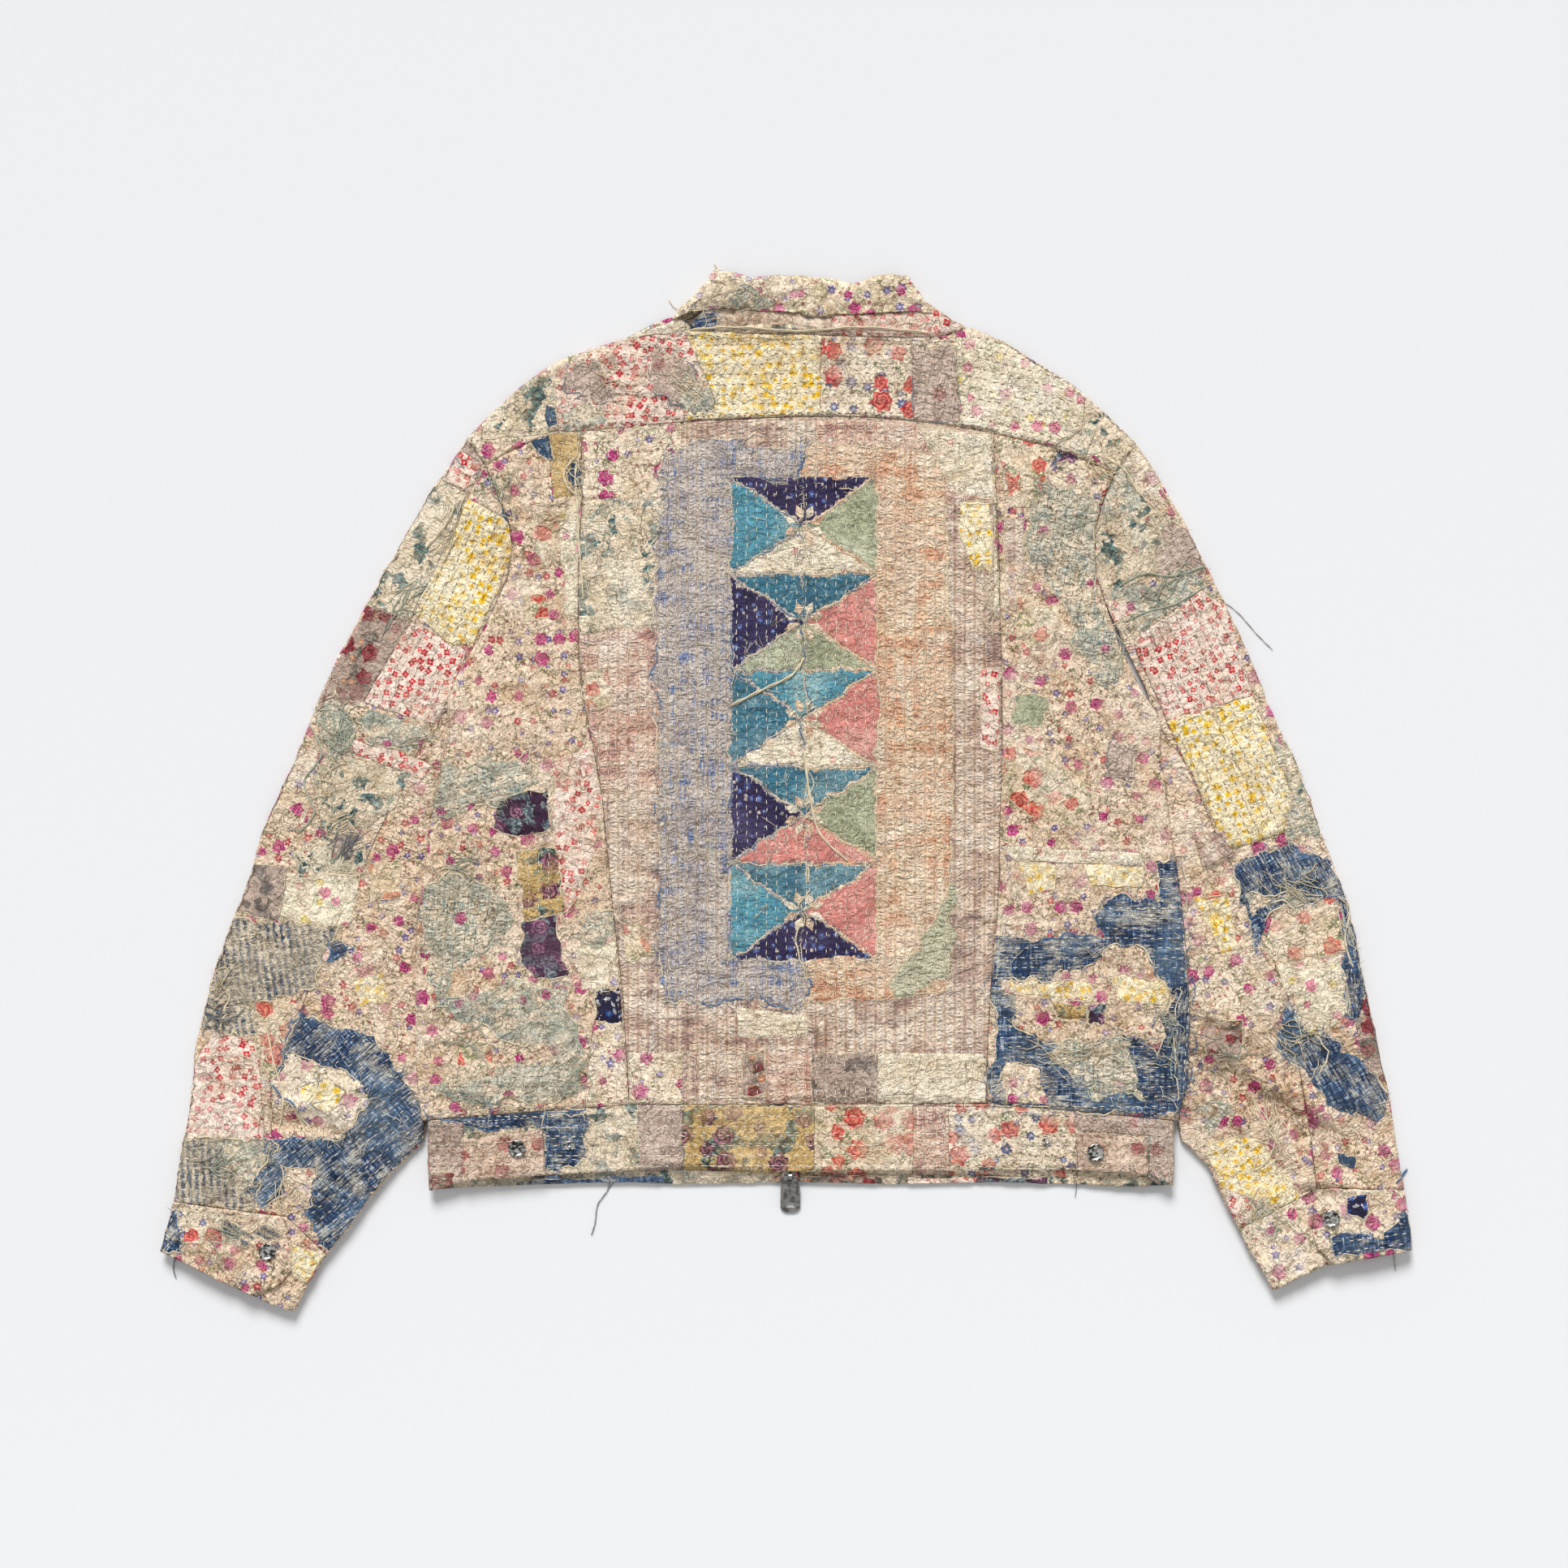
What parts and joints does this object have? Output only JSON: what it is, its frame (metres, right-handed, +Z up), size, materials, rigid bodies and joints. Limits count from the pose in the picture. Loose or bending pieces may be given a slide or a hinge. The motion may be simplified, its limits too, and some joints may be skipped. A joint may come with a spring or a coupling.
{
  "type": "patchwork jacket laid flat",
  "caption": "Patched boro jacket with a zip front, laid flat on its front with its back up, with folded sleeves, a rolled collar, snapped cuffs and waist tabs.",
  "frame": {"origin": "on the surface under the middle of the laid jacket's outline", "axes": "+X to the jacket's right sleeve as seen from above, across its width, +Y towards the collar, +Z up from the surface"},
  "size_m": [0.986, 0.821, 0.0165],
  "materials": {
    "cream_print": "worn printed cotton, quilted",
    "beige_print": "worn printed cotton, quilted",
    "mauve_print": "worn printed cotton, quilted",
    "yellow_print": "small printed flowers on cotton",
    "red_print": "small printed flowers on cotton",
    "blue_cloth": "matt cotton",
    "peach_cloth": "matt cotton",
    "sage_cloth": "washed cotton, frayed",
    "denim": "washed denim, frayed",
    "striped_cloth": "striped cotton, frayed",
    "zip_tape": "woven tape",
    "dull_metal": "dull nickel plate"
  },
  "bodies": {
    "jacket": {"back_yoke": "cream_print", "back_centre": "beige_print", "back_side_left": "beige_print", "back_side_right": "beige_print", "front_left": "beige_print", "front_right": "beige_print", "sleeve_upper_left": "beige_print", "sleeve_upper_right": "beige_print", "sleeve_under_left": "cream_print", "sleeve_under_right": "cream_print", "waistband": "cream_print", "cuff_left": "mauve_print", "cuff_right": "mauve_print", "collar_fall": "cream_print", "collar_stand": "mauve_print", "waist_tab_left": "mauve_print", "waist_tab_right": "mauve_print", "patch_yellow_yoke": "yellow_print", "patch_red_yoke": "red_print", "patch_blue_half": "blue_cloth", "patch_peach_half": "peach_cloth", "patch_sage_left_side": "sage_cloth", "patch_denim_right_side": "denim", "patch_yellow_left_sleeve": "yellow_print", "patch_red_left_sleeve": "red_print", "patch_stripe_left_sleeve": "striped_cloth", "patch_red_left_forearm": "red_print", "patch_denim_left_forearm": "denim", "patch_red_right_sleeve": "red_print", "patch_yellow_right_sleeve": "yellow_print", "patch_denim_right_sleeve": "denim", "patch_denim_right_forearm": "denim", "zip_tape_left": "zip_tape", "zip_tape_right": "zip_tape", "zip_slider": "dull_metal", "waist_snap_left": "dull_metal", "waist_snap_right": "dull_metal", "cuff_snap_left": "dull_metal", "cuff_snap_right": "dull_metal", "spare_snap_left": "dull_metal", "spare_snap_right": "dull_metal"},
    "pull": {"zip_pull": "dull_metal"}
  },
  "joints": [
    {"name": "zip_pull_swing", "type": "hinge", "parent": "jacket", "child": "pull", "pos_m": [0.003, -0.30509, 0.0058], "axis": [-1, 0, 0], "range_deg": [0, 115]}
  ]
}
